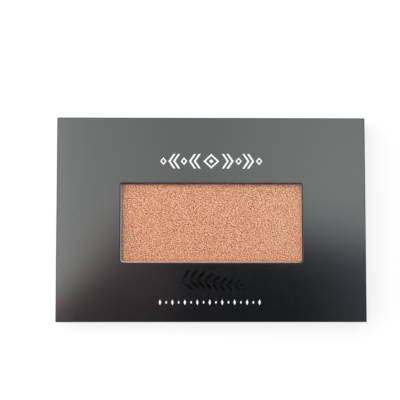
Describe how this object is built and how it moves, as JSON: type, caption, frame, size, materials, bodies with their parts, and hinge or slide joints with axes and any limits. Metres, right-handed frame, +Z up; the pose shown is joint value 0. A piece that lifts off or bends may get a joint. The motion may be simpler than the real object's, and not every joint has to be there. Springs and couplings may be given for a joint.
{
  "type": "highlighter palette",
  "caption": "Flat black book-style make-up palette: wrapped-board case with a hinged, magnet-held lid whose window shows a pan of copper shimmer powder.",
  "frame": {"origin": "middle of the underside, on the surface that the closed palette lies on", "axes": "+X along the width, +Y from the front edge to the spine, +Z up through the lid"},
  "size_m": [0.105, 0.0694, 0.0107],
  "materials": {
    "black_paper": "soft-touch satin laminate",
    "greyboard": "uncoated",
    "lining_paper": "matt",
    "nickel": "nickel plated",
    "hot_melt_glue": "translucent",
    "tinplate": "bright rolled",
    "copper_powder": "pressed, fine metallic shimmer",
    "clear_film": "clear, glossy"
  },
  "bodies": {
    "case": {"case_wrap": "black_paper", "back_board": "greyboard", "spine_board": "greyboard", "hinge_lining": "lining_paper", "tray_floor_board": "greyboard", "tray_lower_board": "greyboard", "tray_upper_board": "greyboard", "tray_wrap": "black_paper", "tray_magnets": "nickel", "pan_glue_spots": "hot_melt_glue", "pan": "tinplate", "powder_cake": "copper_powder"},
    "lid": {"lid_liner": "lining_paper", "window_film": "clear_film", "lid_board": "greyboard", "lid_magnets": "nickel", "lid_wrap": "black_paper"}
  },
  "joints": [
    {"name": "lid_hinge", "type": "hinge", "parent": "case", "child": "lid", "pos_m": [0, 0.0348, 0.0084], "axis": [-1, 0, 0], "range_deg": [0, 180]}
  ]
}
